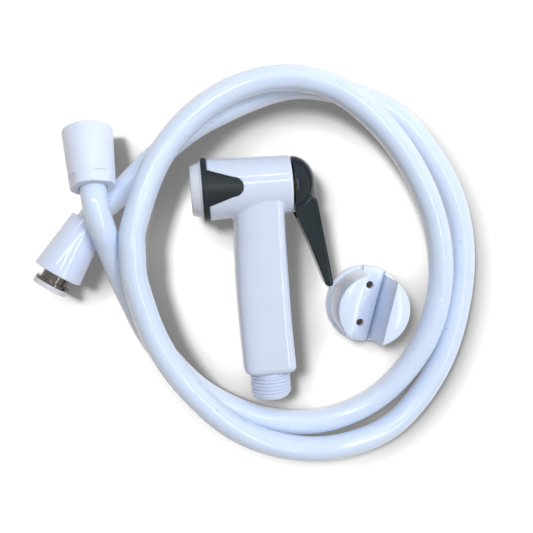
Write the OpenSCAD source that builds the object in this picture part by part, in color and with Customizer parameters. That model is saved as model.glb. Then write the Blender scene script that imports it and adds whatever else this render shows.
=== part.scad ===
// Handheld bidet shower kit, lying on a table: a trigger handset, its hose with
// two end nuts, and the wall holder. Millimetres, +Z up.
// The origin is on the table, under the middle of the handset and the holder.
// The handset is drawn in a frame of its own: X runs along the head from the
// spray face to the lever, Y runs up the handle and Z through the head's side.

/* [Head] */
// Radius of the head casing at the trim ring
head_front_r = 15.4; // [15.2:0.1:16.4]
// Radius of the head casing at the lever
head_rear_r = 14.85; // [14.6:0.05:15.2]
// Length of the head casing behind the trim ring
head_len = 41.8; // [41:0.1:48]
// Radius of the neck that the trim ring and the front cap fit round
neck_r = 11.2; // [10.6:0.1:11.8]
// Radius of the valve chamber and of the outlet in front of it
chamber_r = 8.5; // [8.3:0.1:9]
// Thickness of the wall that carries the valve seat
seat_wall_t = 2; // [1.6:0.1:3]
// Distance from the front of the casing to the wall that carries the seat
seat_wall_x = 7; // [5:0.5:8]
// Radius of the hole through the wall that carries the seat
seat_wall_hole_r = 5; // [4.6:0.1:6]

/* [Trim ring] */
// Width of the dark ring along the head
ring_w = 2.7; // [2.2:0.1:4]
// How far the dark ring stands out of the casing
ring_proud = 0.6; // [0.3:0.1:1.5]
// Height of each side tongue where it leaves the ring
tongue_root_h = 17.6; // [14:0.1:20]
// Radius of the round tip of each tongue
tongue_tip_r = 4.6; // [3:0.1:5.5]
// Length of each tongue behind the ring
tongue_len = 17.3; // [12:0.1:22]
// Height of the tongues' middle line above the head's axis
tongue_rise = 1.3; // [0:0.1:2]
// Depth of the pockets that the tongues lie in
tongue_sunk = 1.1; // [0.8:0.1:1.6]
// How far the tongues stand proud of the casing
tongue_proud = 0.3; // [0.1:0.05:0.5]
// Gap between a tongue and its pocket
trim_gap = 0.1; // [0.05:0.05:0.2]

/* [Front cap] */
// Depth of the cap in front of the trim ring
cap_len = 5.7; // [5.4:0.1:9]
// Radius of the cap's thin flange
cap_flange_r = 14.7; // [14.2:0.1:15.6]
// Thickness of the cap's thin flange
cap_flange_t = 1; // [0.6:0.1:1.6]
// Radius of the cap's front face
cap_face_r = 12; // [12:0.1:12.8]
// Thickness of the cap's front lip
cap_lip_t = 1; // [0.8:0.1:1.4]
// Radius of the opening in the front lip
cap_hole_r = 9.6; // [8.5:0.1:10]
// Gap between the cap and the neck that it screws over
cap_gap = 0.1; // [0.05:0.05:0.2]
// Thickness of the spray plate
plate_t = 1.2; // [1:0.1:1.8]
// Radius of one spray hole
spray_hole_r = 0.5; // [0.3:0.05:0.7]
// Number of rings of spray holes
spray_rings = 2; // [1:1:3]
// Thickness of the washer behind the spray plate
face_washer_t = 1; // [0.8:0.1:1.5]

/* [Handle] */
// Distance from the head's axis to the shoulder at the end of the handle
handle_drop = 96; // [88:1:110]
// Width of the handle, from front to back
handle_w = 27.1; // [26:0.1:29]
// How much narrower the handle is at the head
handle_waist = 1.8; // [0:0.1:3]
// Place of the handle's middle line along the head
handle_x = 23.8; // [22.8:0.1:24.6]
// How far the handle's end curves back
handle_bow = 1.25; // [0:0.05:2]
// Half thickness of the handle at the head
handle_top_half = 13.5; // [12.5:0.1:14]
// Half thickness of the handle at its end
handle_end_half = 12.5; // [11.5:0.1:13.5]
// Radius of the handle's edge at the shoulder
handle_edge_r = 3.4; // [2:0.1:4.5]
// Radius of the inlet's outside thread
spigot_r = 10.4775; // [10.4:0.0775:10.5]
// Length of the inlet
spigot_len = 14; // [12:0.5:18]
// Place of the inlet's axis along the head
spigot_x = 25.1; // [24:0.1:26]
// Pitch of the inlet's thread
thread_pitch = 1.814; // [1.5:0.1:2]
// Depth of the inlet's thread
thread_depth = 1.16; // [0.8:0.02:1.2]
// Number of thread grooves round the inlet
thread_grooves = 5; // [3:1:5]
// Radius of the waterway through the handle
waterway_r = 5; // [4:0.1:6]

/* [Valve] */
// Thickness of the valve seat
seat_t = 3; // [2.4:0.1:4]
// Radius of the hole in the valve seat
seat_hole_r = 3.5; // [3.2:0.1:4]
// Width of the raised lip round the seat's hole
seat_lip_w = 0.9; // [0.6:0.1:1.4]
// Height of the raised lip round the seat's hole
seat_lip_h = 0.8; // [0.5:0.1:1.2]
// Thickness of the rubber disc that closes the valve
disc_t = 2; // [1.5:0.1:3]
// Radius of the rubber disc that closes the valve
disc_r = 6; // [5.6:0.1:7]
// Radius of the valve stem
stem_r = 2; // [1.6:0.05:2.2]
// Thickness of the collar that presses the disc
stem_collar_t = 1.2; // [0.8:0.1:2]
// Mean radius of the valve spring
spring_r = 5.2; // [4.8:0.1:5.8]
// Radius of the spring's wire
spring_wire_r = 0.5; // [0.35:0.05:0.6]
// Number of turns of the spring
spring_turns = 7; // [5:1:9]
// Length of the closed spring in the head
spring_len = 14; // [12:0.5:15]
// Radius of the stem seal's section
seal_wire_r = 0.88; // [0.7:0.02:0.95]
// Gap between the stem and what it slides in
stem_gap = 0.06; // [0.03:0.01:0.1]
// Radius of the gland nut's flange
gland_flange_r = 10; // [9.6:0.1:10.6]
// Thickness of the gland nut's flange
gland_flange_t = 1.5; // [1.2:0.1:2]
// Distance across the flats of the gland nut
gland_hex = 12; // [11:0.5:13]
// Thickness of the gland nut's hexagon
gland_hex_t = 2.4; // [2:0.1:2.6]
// Radius of the nut on the end of the stem
stem_nut_r = 3.2; // [2.8:0.1:3.4]
// Thickness of the nut on the end of the stem
stem_nut_t = 1.9; // [1.5:0.1:2.1]

/* [Lever] */
// Radius of the dome that covers the end of the head
dome_r = 14.3; // [14:0.1:14.6]
// Depth of the dome
dome_len = 12; // [11.6:0.1:14]
// Thickness of the dome's wall
dome_wall = 1.9; // [1.5:0.1:2]
// Gap between the dome and the head casing
dome_gap = 0.7; // [0.65:0.05:1]
// Distance from the head's axis to the tip of the lever
lever_reach = 53.3; // [46:0.1:60]
// Half width of the lever's arm at the dome
lever_half = 9; // [8.6:0.1:10]
// Distance from the head's axis to where the arm starts to narrow
lever_knee = 16; // [14.5:0.1:20]
// How far the arm leans back behind the dome at its end
lever_lean = 4.8; // [3:0.1:6]
// Half width of the lever's arm at the tip
lever_tip_half = 6; // [4.5:0.1:8]
// Thickness of the lever's tip
lever_tip_t = 3.7; // [3:0.1:5]
// Distance of the hinge pin behind the head casing
pivot_back = 3.8; // [3.6:0.1:4]
// Distance of the hinge pin below the head's axis
pivot_drop = 11; // [10.8:0.1:11.2]
// Radius of the hinge pin
pin_r = 1.5; // [1.2:0.05:1.6]
// Running gap between the hinge pin and the lug
pin_gap = 0.05; // [0.02:0.01:0.08]
// Half width of the lug that carries the hinge pin
lug_half = 5; // [4:0.1:5.5]
// Radius of the lug round the hinge pin
lug_r = 2.9; // [2.6:0.05:3]
// Gap on each side of the lug
lug_gap = 0.15; // [0.1:0.05:0.25]
// Radius of the two pegs that pull the stem
peg_r = 1.7; // [1.4:0.05:1.8]
// Gap between the pegs and the nut on the stem
peg_gap = 0.05; // [0.03:0.01:0.1]

/* [Hose] */
// Outside diameter of the hose
hose_d = 13.2; // [12.6:0.1:13.4]
// Length of the crimped sleeve on each end of the hose
ferrule_len = 13; // [10:0.5:16]
// Wall of the crimped sleeve
ferrule_wall = 0.6; // [0.4:0.1:0.8]
// How much the sleeve stands above the hose
ferrule_proud = 0.2; // [0:0.05:0.3]
// Radius of the flange on each hose insert
insert_flange_r = 8.8; // [8.4:0.1:9]
// Thickness of the flange on each hose insert
insert_flange_t = 1.6; // [1.2:0.1:2]
// Length of the barbed tail in the hose
tail_len = 20; // [15:1:24]
// Radius of the barbed tail
tail_r = 4.1; // [3.6:0.1:4.4]
// Radius of the water passage in each insert
insert_bore_r = 2.8; // [2.2:0.1:3]
// Thickness of the sealing washer on each insert
washer_t = 2.5; // [2:0.1:3]
// Radius of the hole in each sealing washer
washer_hole_r = 4.5; // [4:0.1:5]

/* [Hose nuts] */
// Length of both nuts
nut_len = 30.6; // [28:0.2:34]
// Radius of both nuts at the mouth
nut_mouth_r = 12.5; // [12:0.1:13]
// Radius of the tap nut at its hose end
tap_nut_end_r = 11.05; // [10.6:0.05:12]
// Radius of the cone nut at its hose end
cone_nut_end_r = 9.2; // [9:0.1:10.6]
// Radius of the inside thread of both nuts
nut_thread_r = 9.32; // [9.3:0.01:9.5]
// Length of the inside thread of both nuts
nut_thread_len = 5.8; // [5:0.1:6]
// Chamfer at the mouth of both nuts
nut_chamfer = 0.8; // [0.5:0.1:1]
// Gap between the inside thread of both nuts and the sealing washer
washer_room = 0.6; // [0.2:0.1:1.5]
// Gap between a nut and the sleeve on its hose
nut_gap = 0.2; // [0.15:0.05:0.3]
// How far the cone nut is slid back along its hose
cone_nut_back = 15.7; // [0:0.1:16]
// Number of spanner flats on the tap nut
flats = 4; // [2:2:6]
// Distance from the tap nut's axis to each spanner flat
flat_r = 10.3; // [10:0.1:10.8]
// Length of the spanner flats
flat_len = 5.8; // [4:0.1:8]
// Turn of the spanner flats about the tap nut's axis
flat_turn = 27; // [0:1:89]

/* [Holder] */
// Radius of the holder's wall flange
holder_flange_r = 20.8; // [20:0.1:24]
// Thickness of the holder's wall flange
holder_flange_t = 3; // [2.4:0.1:4]
// Radius of the holder's body
holder_r = 19; // [18:0.1:20]
// Height of the holder from the wall
holder_h = 27; // [24:0.5:32]
// Thickness of the floor of the slot
holder_floor = 4; // [3.2:0.1:5]
// Half width of the slot's floor
slot_floor_half = 6.8; // [6:0.1:7.4]
// Half width of the slot at the top of its narrow end
slot_narrow_half = 8; // [7.6:0.05:8.2]
// Half width of the slot at the top of its wide end
slot_wide_half = 8.65; // [8.3:0.05:9]
// Thickness of the shells either side of the slot
holder_wall = 2; // [1.6:0.1:2.6]
// Distance between the two screw holes
screw_gap = 21; // [18:0.5:24]
// Radius of each screw hole
screw_r = 2.05; // [1.8:0.05:2.4]
// Width of the groove at the foot of each side of the slot
groove_w = 1.3; // [0.8:0.1:1.6]
// Depth of the groove at the foot of each side of the slot
groove_d = 1; // [0.6:0.1:1.4]

/* [Layout on the table] */
// Distance of the holder from the front of the head casing, along the head
holder_dx = 79.4; // [78:0.2:82]
// Distance of the holder below the head's axis
holder_dy = 66.8; // [64:0.2:68]
// Turn of the holder's slot
holder_turn = -18; // [-24:1:-12]

/* [Hidden] */
$fn = 64;
eps = 0.02;

ring_r = head_front_r + ring_proud;
hose_r = hose_d / 2;
ferrule_r = hose_r + ferrule_proud;
hose_end_r = ferrule_r - ferrule_wall - 0.1;
nut_bore_r = ferrule_r + nut_gap;
// Depth of the shoulder in each nut that pulls on the insert's flange
nut_shoulder = nut_chamfer + nut_thread_len + washer_room + washer_t + insert_flange_t;
washer_r = insert_flange_r + 0.1;

// Where the kit lies. The hose's ends are given by the middle of each nut's
// mouth, its heading on the table and its slope.
kit_x = (holder_dx + holder_flange_r - ring_w - cap_len) / 2;
lie_tilt = asin((ring_r - handle_end_half) / (handle_drop - handle_edge_r));
spigot_end_r = spigot_r - thread_depth - 0.9;
kit_y = (ring_r - (handle_drop + spigot_len) * cos(lie_tilt) - spigot_end_r * sin(lie_tilt)) / 2;
tap_heading = 93.3;
tap_slope = -20;
tap_mouth = [-103.1, 80.8, nut_mouth_r * cos(tap_slope)];
cone_heading = -125;
cone_slope = asin((nut_mouth_r - cone_nut_end_r) / nut_len);
cone_mouth = [-124.5, 10.5, nut_mouth_r * cos(cone_slope)];

// Stations of the valve along the head
seat_x = seat_wall_x + seat_wall_t;
disc_x = seat_x + seat_t + seat_lip_h;
collar_x = disc_x + disc_t;
spring_x = collar_x + stem_collar_t;
gland_x = spring_x + spring_len;
gland_flange_x = head_len - gland_flange_t;
pivot_x = head_len + pivot_back;
dome_x = head_len + dome_gap;
back_x = dome_x + dome_len;
peg_x = head_len + gland_hex_t + 2.7;
stem_nut_x = peg_x + peg_r + peg_gap;
stem_end_x = stem_nut_x + stem_nut_t + 0.5;

// Points of the hose's route on the table, chosen by hand, from the cone nut
// round the handset twice to the tap nut
ROUTE = [[-98.4, 42.8, 7.3], [-87, 51.5, 6.6], [-66, 69, 6.6], [-41, 84, 6.6],
    [2, 96.5, 6.6], [42, 86, 6.6], [65, 67, 6.6], [83.5, 32, 6.6], [86.5, -8, 6.6],
    [74, -52, 6.6], [48, -84, 7.6], [18, -94, 11.5], [-12, -91, 16], [-40, -77, 20],
    [-62, -54, 20.6], [-77, -28, 21], [-84.8, 2, 23.4], [-85.2, 18, 25], [-82.8, 34, 24],
    [-68, 65, 21], [-44, 88, 20.6], [-14, 99, 20.3], [16, 95, 20.6], [41, 76, 20.6],
    [60, 49, 18], [71, 18, 15.4], [72, -14, 12.6], [62, -44, 9.6], [38, -70, 6.6],
    [6, -81, 6.6], [-28, -76, 6.6], [-58, -58, 6.6], [-79, -31, 6.6], [-90, -4, 9.2],
    [-96, 18, 15.6], [-98.6, 31, 22.4], [-100.6, 42, 24]];

function unit(v) = v / norm(v);
function heading(turn, slope) =
    [cos(slope) * cos(turn), cos(slope) * sin(turn), sin(slope)];

// Point at a distance behind a nut's mouth
function behind(mouth, turn, slope, back) = mouth - back * heading(turn, slope);

module in_handset() translate([-kit_x, -kit_y, ring_r]) rotate([lie_tilt, 0, 0]) children();
module along_head() rotate([0, 90, 0]) children();
module at_mouth(mouth, turn, slope)
    translate(mouth) rotate([0, 0, turn]) rotate([0, 90 - slope, 0]) children();
module at_tap_mouth() at_mouth(tap_mouth, tap_heading, tap_slope) children();
module at_cone_mouth() at_mouth(cone_mouth, cone_heading, cone_slope) children();

// A tube between two stations, with the radii of its wall
module tube(from, to, outer, inner) translate([0, 0, from]) difference() {
    cylinder(h = to - from, r = outer);
    translate([0, 0, -1]) cylinder(h = to - from + 2, r = inner);
}

/* Head and handle */

function head_r(x) = head_front_r + (head_rear_r - head_front_r) * x / head_len;

// Side view of a trim tongue, grown all round by a gap
module tongue_outline(grow) {
    tip_x = tongue_len - tongue_tip_r;
    translate([0, tongue_rise]) {
        polygon([[-ring_w / 2, -tongue_root_h / 2 - grow],
            [0, -tongue_root_h / 2 - grow],
            [tip_x, -tongue_tip_r - grow],
            [tip_x, tongue_tip_r + grow],
            [0, tongue_root_h / 2 + grow],
            [-ring_w / 2, tongue_root_h / 2 + grow]]);
        translate([tip_x, 0]) circle(r = tongue_tip_r + grow);
    }
}

// Both tongues as a curved plate that follows the casing
module tongues(from, inner, outer, grow) intersection() {
    along_head() translate([0, 0, from]) difference() {
        cylinder(h = tongue_len + 1 - from,
            r1 = head_r(from) + outer, r2 = head_r(tongue_len + 1) + outer);
        translate([0, 0, -eps]) cylinder(h = tongue_len + 1 - from + 2 * eps,
            r1 = head_r(from) + inner, r2 = head_r(tongue_len + 1) + inner);
    }
    translate([0, 0, -ring_r - 2]) linear_extrude(2 * ring_r + 4) tongue_outline(grow);
}

// Middle, width and half thickness of the handle at a distance from the head
function handle_mid(d) = handle_x
    + handle_bow * pow((d - handle_drop / 2) / (handle_drop / 2), 2);
function handle_width(d) = handle_w - handle_waist * max(0, 1 - 2 * d / handle_drop);
function handle_half(d) = handle_top_half
    + (handle_end_half - handle_top_half) * d / handle_drop;
// How far the edge at the shoulder draws the outline in
function edge_inset(d) = let (e = d - (handle_drop - handle_edge_r))
    e <= 0 ? 0 : handle_edge_r - sqrt(max(0, handle_edge_r * handle_edge_r - e * e));
function signed_pow(v, p) = sign(v) * pow(abs(v), p);

// One ring of the handle: its back is boxy and its front is a rounder nose
// that squares up towards the end
HANDLE_POINTS = 40;
function handle_ring(d) =
    let (grown = edge_inset(d), t = d / handle_drop,
        half = handle_half(d) - grown, width = handle_width(d) - 2 * grown,
        back = width * (0.28 + 0.14 * t), nose = width - back,
        nose_shape = 2 / (2.05 + 1.6 * t), back_shape = 2 / (3.4 + 0.6 * t),
        split = handle_mid(d) + width / 2 - back)
    [for (i = [0 : HANDLE_POINTS - 1]) let (a = -360 * i / HANDLE_POINTS,
        rear = cos(a) >= 0, shape = rear ? back_shape : nose_shape)
        [split + (rear ? back : nose) * signed_pow(cos(a), shape), -d,
            half * signed_pow(sin(a), shape)]];
HANDLE_STATIONS = concat([for (k = [0 : 7]) 3 + (handle_drop - handle_edge_r - 3) * k / 7],
    [for (a = [25 : 21.6 : 90]) handle_drop - handle_edge_r + handle_edge_r * sin(a)]);

// Skin over a list of rings that all have the same number of points
module loft(rings) {
    n = len(rings[0]);
    last = len(rings) - 1;
    polyhedron(points = [for (ring = rings) for (p = ring) p],
        faces = concat(
            [for (k = [0 : last - 1]) for (i = [0 : n - 1]) let (j = (i + 1) % n)
                for (f = [0, 1]) f == 0
                    ? [k * n + i, k * n + j, (k + 1) * n + i]
                    : [k * n + j, (k + 1) * n + j, (k + 1) * n + i]],
            [[for (i = [n - 1 : -1 : 0]) i]],
            [[for (i = [0 : n - 1]) last * n + i]]), convexity = 6);
}

module spigot() translate([spigot_x, -handle_drop, 0]) rotate([90, 0, 0]) rotate_extrude()
    polygon(concat([[0, -4], [spigot_r - thread_depth, -4], [spigot_r - thread_depth, 1.4]],
        [for (k = [0 : thread_grooves]) let (y = 1.4 + k * thread_pitch)
            for (p = [[spigot_r, y + 0.45], [spigot_r, y + 1.05],
                [spigot_r - thread_depth, y + 1.55]]) if (y + 1.55 < spigot_len - 1) p],
        [[spigot_r - thread_depth, spigot_len - 0.9], [spigot_end_r, spigot_len],
            [0, spigot_len]]));

module lug() {
    translate([0, 0, -lug_half]) {
        translate([pivot_x, -pivot_drop]) cylinder(h = 2 * lug_half, r = lug_r);
        linear_extrude(2 * lug_half) polygon([[head_len - 1, -pivot_drop - lug_r],
            [pivot_x, -pivot_drop - lug_r], [pivot_x, -pivot_drop + lug_r],
            [head_len, -gland_flange_r - 0.6], [head_len - 1, -gland_flange_r - 0.6]]);
    }
}

module handset_body() color("whitesmoke") in_handset() difference() {
    union() {
        along_head() rotate_extrude() polygon([[0, 0], [head_front_r - 0.3, 0],
            [head_front_r, 0.3], [head_rear_r, head_len - 0.5],
            [head_rear_r - 0.5, head_len], [0, head_len]]);
        along_head() translate([0, 0, -neck_len]) cylinder(h = neck_len + 1, r = neck_r);
        loft([for (d = HANDLE_STATIONS) handle_ring(d)]);
        spigot();
        lug();
    }
    along_head() {
        translate([0, 0, -neck_len - 1]) cylinder(h = neck_len + 1 + seat_wall_x, r = chamber_r);
        cylinder(h = head_len, r = seat_wall_hole_r);
        translate([0, 0, seat_x]) cylinder(h = head_len, r = chamber_r);
        translate([0, 0, gland_flange_x]) cylinder(h = head_len, r = gland_flange_r + 0.2);
    }
    translate([spigot_x, -handle_drop - spigot_len - 1, 0]) rotate([-90, 0, 0])
        cylinder(h = handle_drop + spigot_len, r = waterway_r);
    tongues(-1, -tongue_sunk - trim_gap, 3, trim_gap);
    translate([pivot_x, -pivot_drop, -lug_half - 1]) cylinder(h = 2 * lug_half + 2, r = pin_r + pin_gap);
}

module trim_ring() color("darkslategray") in_handset() {
    along_head() rotate_extrude() polygon([[neck_r + trim_gap, 0],
        [neck_r + trim_gap, -ring_w], [ring_r - 0.4, -ring_w], [ring_r, -ring_w + 0.4],
        [ring_r, -0.4], [ring_r - 0.4, 0]]);
    tongues(-ring_w / 2, -tongue_sunk, tongue_proud, 0);
}

/* Front cap and spray face */

cap_back = -ring_w;
cap_front = -ring_w - cap_len;
plate_front = cap_front + cap_lip_t;
plate_back = plate_front + plate_t;
neck_len = -(plate_back + face_washer_t);

module front_cap() color("white") in_handset() along_head() rotate_extrude()
    polygon([[neck_r + cap_gap, cap_back], [cap_flange_r, cap_back],
        [cap_flange_r, cap_back - cap_flange_t], [cap_flange_r - 0.7, cap_back - cap_flange_t - 0.1],
        [cap_face_r + 0.45, cap_front + 0.45], [cap_face_r, cap_front],
        [cap_hole_r, cap_front], [cap_hole_r, plate_front], [neck_r + cap_gap, plate_front]]);

module spray_plate() color("gainsboro") in_handset() along_head() difference() {
    union() {
        translate([0, 0, plate_front]) cylinder(h = plate_t, r = neck_r);
        translate([0, 0, cap_front + 0.3]) cylinder(h = cap_lip_t, r = cap_hole_r - cap_gap);
    }
    for (ring = [0 : spray_rings]) for (i = [0 : max(1, 6 * ring) - 1])
        rotate([0, 0, 360 * i / max(1, 6 * ring)])
            translate([ring * (cap_hole_r - 2) / spray_rings, 0, cap_front - 1])
                cylinder(h = cap_len, r = spray_hole_r, $fn = 24);
}

module face_washer() color("dimgray") in_handset() along_head()
    tube(plate_back, plate_back + face_washer_t, neck_r, chamber_r);

/* Valve */

module valve_seat() color("white") in_handset() along_head() {
    tube(seat_x, seat_x + seat_t, chamber_r, seat_hole_r);
    tube(seat_x + seat_t - 0.5, disc_x, seat_hole_r + seat_lip_w, seat_hole_r);
}

module valve_disc() color("dimgray") in_handset() along_head()
    tube(disc_x, collar_x, disc_r, stem_r);

module valve_stem() color("goldenrod") in_handset() along_head() {
    translate([0, 0, disc_x - 1]) cylinder(h = 1, r = seat_hole_r - 0.6);
    translate([0, 0, disc_x - 0.5]) cylinder(h = stem_end_x - disc_x + 0.5, r = stem_r);
    translate([0, 0, collar_x]) cylinder(h = stem_collar_t, r = disc_r + 0.4);
}

// Helical compression spring between the stem's collar and the gland nut
SPRING_STEPS = 12;
module valve_spring() color("silver") in_handset() along_head() {
    rise = spring_len - 2 * spring_wire_r - 0.04;
    count = spring_turns * SPRING_STEPS;
    slant = atan(rise / spring_turns / (2 * PI * spring_r));
    loft([for (k = [0 : count]) let (a = 360 * k / SPRING_STEPS)
        [for (i = [0 : 5]) let (b = -60 * i, u = spring_wire_r * cos(b), v = spring_wire_r * sin(b))
            [(spring_r + u) * cos(a) + v * sin(slant) * sin(a),
                (spring_r + u) * sin(a) - v * sin(slant) * cos(a),
                spring_x + spring_wire_r + 0.02 + rise * k / count + v * cos(slant)]]]);
}

module stem_seal() color("black") in_handset() along_head()
    translate([0, 0, gland_x + seal_wire_r]) rotate_extrude()
        translate([stem_r + 0.1 + seal_wire_r, 0]) circle(r = seal_wire_r, $fn = 24);

module gland_nut() color("goldenrod") in_handset() along_head() difference() {
    union() {
        translate([0, 0, gland_x]) cylinder(h = gland_flange_x - gland_x, r = chamber_r - 0.1);
        translate([0, 0, gland_flange_x]) cylinder(h = gland_flange_t, r = gland_flange_r);
        translate([0, 0, head_len]) cylinder(h = gland_hex_t, d = gland_hex / cos(30), $fn = 6);
    }
    translate([0, 0, gland_x - 1]) cylinder(h = head_len, r = stem_r + stem_gap);
    translate([0, 0, gland_x - 1]) cylinder(h = 1 + 2.4 * seal_wire_r, r = stem_r + 0.2 + 2 * seal_wire_r);
}

module stem_nut() color("silver") in_handset() along_head()
    tube(stem_nut_x, stem_nut_x + stem_nut_t, stem_nut_r, stem_r);

/* Lever */

// Profile of the dome: a quarter of an ellipse
function dome_profile(r, depth) = concat([[0, 0]],
    [for (a = [0 : 6 : 90]) [r * cos(a), depth * sin(a)]]);

// Side view of the arm, from the dome down to its rounded tip
module arm_outline() {
    tip_x = back_x + lever_lean - 0.2 * lever_tip_t;
    polygon([[dome_x + 0.5, -pivot_drop + 4], [dome_x + 0.6, -dome_r - 0.4],
        [dome_x + 6.5, -0.56 * lever_reach],
        [tip_x - lever_tip_t / 2 - 0.3, -lever_reach + 0.9],
        [tip_x - lever_tip_t / 2 + 0.7, -lever_reach],
        [tip_x + lever_tip_t / 2 - 0.8, -lever_reach + 0.1],
        [tip_x + lever_tip_t / 2, -lever_reach + 1.2],
        [back_x + lever_lean, -0.8 * lever_reach], [back_x + 0.7 * lever_lean, -0.63 * lever_reach],
        [back_x + 0.36 * lever_lean, -0.44 * lever_reach], [back_x + 0.08 * lever_lean, -lever_knee],
        [back_x - 0.15 * lever_lean, -pivot_drop], [back_x - 2 * dome_wall, -0.4 * dome_r]]);
}

// Side view of the shoulder where the arm's flanks run up into the dome
module shoulder_outline() polygon([[dome_x + 0.5, -pivot_drop], [dome_x + 0.5, -0.2 * dome_r],
    [back_x - 2.4 * dome_wall, -0.1 * dome_r], [back_x - dome_wall, -0.35 * dome_r],
    [back_x - 0.15 * lever_lean, -pivot_drop]]);

// Rear view of the arm: it narrows to a round end
module arm_width() {
    polygon([[0, -lever_half], [0, lever_half], [-lever_knee, lever_half],
        [-lever_reach + lever_tip_half, lever_tip_half],
        [-lever_reach + lever_tip_half, -lever_tip_half], [-lever_knee, -lever_half]]);
    translate([-lever_reach + lever_tip_half, 0]) circle(r = lever_tip_half);
}

module lever() color("darkslategray") in_handset() difference() {
    union() {
        difference() {
            union() {
                along_head() translate([0, 0, dome_x]) rotate_extrude()
                    polygon(dome_profile(dome_r, dome_len));
                translate([0, 0, -lever_half]) linear_extrude(2 * lever_half) shoulder_outline();
            }
            along_head() translate([0, 0, dome_x - eps]) rotate_extrude()
                polygon(dome_profile(dome_r - dome_wall, dome_len - dome_wall));
        }
        intersection() {
            translate([0, 0, -lever_half - 1]) linear_extrude(2 * lever_half + 2) arm_outline();
            translate([dome_x, 0, 0]) rotate([90, 0, 90]) linear_extrude(dome_len + 12) arm_width();
        }
        intersection() {
            along_head() translate([0, 0, dome_x]) rotate_extrude()
                polygon(dome_profile(dome_r - 0.5, dome_len - 0.5));
            for (side = [-1, 1]) translate([peg_x, 0, side * (stem_r + 0.3 + dome_r / 2)])
                cylinder(h = dome_r, r = peg_r, center = true);
        }
    }
    // Room for the lug, the gland nut and the stem's nut
    translate([dome_x - 1, -dome_r - 3, -lug_half - lug_gap])
        cube([pivot_x - dome_x + 1 + lug_r + 0.4, dome_r + 3 - pivot_drop + lug_r + 0.8,
            2 * (lug_half + lug_gap)]);
    translate([pivot_x, -pivot_drop, -lever_half - 1])
        cylinder(h = 2 * lever_half - 0.6, r = pin_r + 0.02);
}

module lever_pin() color("silver") in_handset()
    translate([pivot_x, -pivot_drop, -lever_half + 0.4]) cylinder(h = 2 * lever_half - 2.1, r = pin_r);

/* Hose */

// Point and direction on the smooth curve through the route
function bend(p, i, t) = let (n = len(p) - 1, a = p[max(0, i - 1)], b = p[i],
        c = p[min(n, i + 1)], d = p[min(n, i + 2)])
    b + t * (c - a) / 2 + t * t * (2 * a - 5 * b + 4 * c - d) / 2
        + t * t * t * (3 * b - 3 * c + d - a) / 2;
function around(p, dir, r) = let (side = unit(cross([0, 0, 1], dir)), top = cross(dir, side))
    [for (i = [0 : 11]) p + r * (cos(30 * i) * side + sin(30 * i) * top)];

ferrule_back = nut_shoulder + ferrule_len;
hose_line = concat(
    [for (s = [ferrule_back - cone_nut_back, nut_len])
        behind(cone_mouth, cone_heading, cone_slope, s)],
    ROUTE,
    [for (s = [nut_len, ferrule_back]) behind(tap_mouth, tap_heading, tap_slope, s)]);
hose_path = concat([for (i = [0 : len(hose_line) - 2]) for (t = [0, 0.5]) bend(hose_line, i, t)],
    [hose_line[len(hose_line) - 1]]);

module hose() color("whitesmoke") {
    last = len(hose_path) - 1;
    cone_in = behind(cone_mouth, cone_heading, cone_slope, nut_shoulder - cone_nut_back);
    tap_in = behind(tap_mouth, tap_heading, tap_slope, nut_shoulder);
    cone_dir = -heading(cone_heading, cone_slope);
    tap_dir = heading(tap_heading, tap_slope);
    difference() {
        loft(concat(
            [around(cone_in, cone_dir, hose_end_r), around(hose_path[0], cone_dir, hose_end_r)],
            [around(hose_path[0], cone_dir, hose_r)],
            [for (i = [1 : last - 1]) around(hose_path[i], unit(hose_path[i + 1] - hose_path[i - 1]), hose_r)],
            [around(hose_path[last], tap_dir, hose_r)],
            [around(hose_path[last], tap_dir, hose_end_r), around(tap_in, tap_dir, hose_end_r)]));
        at_cone_mouth() translate([0, 0, cone_nut_back - nut_shoulder - tail_len + 1])
            cylinder(h = tail_len, r = tail_r + 0.3);
        at_tap_mouth() translate([0, 0, -nut_shoulder - tail_len + 1])
            cylinder(h = tail_len, r = tail_r + 0.3);
    }
}

// What is on each hose end, drawn from the shoulder side of the insert's flange
module insert() rotate_extrude() polygon(concat([[insert_bore_r, insert_flange_t],
        [insert_bore_r, -tail_len + 1.5], [tail_r - 0.5, -tail_len + 1.5]],
    [for (k = [3 : -1 : 1]) for (p = [[tail_r + 0.2, -4.5 * k], [tail_r - 0.3, -4.5 * k]]) p],
    [[tail_r - 0.3, 0], [insert_flange_r, 0], [insert_flange_r, insert_flange_t]]));
module ferrule() tube(-ferrule_len, 0, ferrule_r, ferrule_r - ferrule_wall);
module washer() tube(insert_flange_t, insert_flange_t + washer_t, washer_r, washer_hole_r);

module on_tap_end() at_tap_mouth() translate([0, 0, -nut_shoulder]) children();
module on_cone_end() at_cone_mouth() translate([0, 0, cone_nut_back - nut_shoulder]) children();

module tap_insert() color("gainsboro") on_tap_end() insert();
module tap_ferrule() color("silver") on_tap_end() ferrule();
module tap_washer() color("dimgray") on_tap_end() washer();
module cone_insert() color("silver") on_cone_end() insert();
module cone_ferrule() color("silver") on_cone_end() ferrule();
module cone_washer() color("lavender") on_cone_end() washer();

// Both nuts are a tapered sleeve with a threaded mouth, a relief for the
// washer and a shoulder, and a bore that the hose end passes
module nut(end_r, rim) rotate_extrude() polygon([[nut_bore_r, -nut_len],
    [end_r - 0.5, -nut_len], [end_r, -nut_len + 0.5], [nut_mouth_r, -1.5 * rim],
    [nut_mouth_r - 0.3 * rim, -0.5 * rim], [nut_mouth_r - rim, 0],
    [nut_thread_r + nut_chamfer, 0], [nut_thread_r, -nut_chamfer],
    [nut_thread_r, -nut_chamfer - nut_thread_len], [nut_thread_r + 0.4, -nut_chamfer - nut_thread_len],
    [nut_thread_r + 0.4, -nut_shoulder], [nut_bore_r, -nut_shoulder]]);

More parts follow.
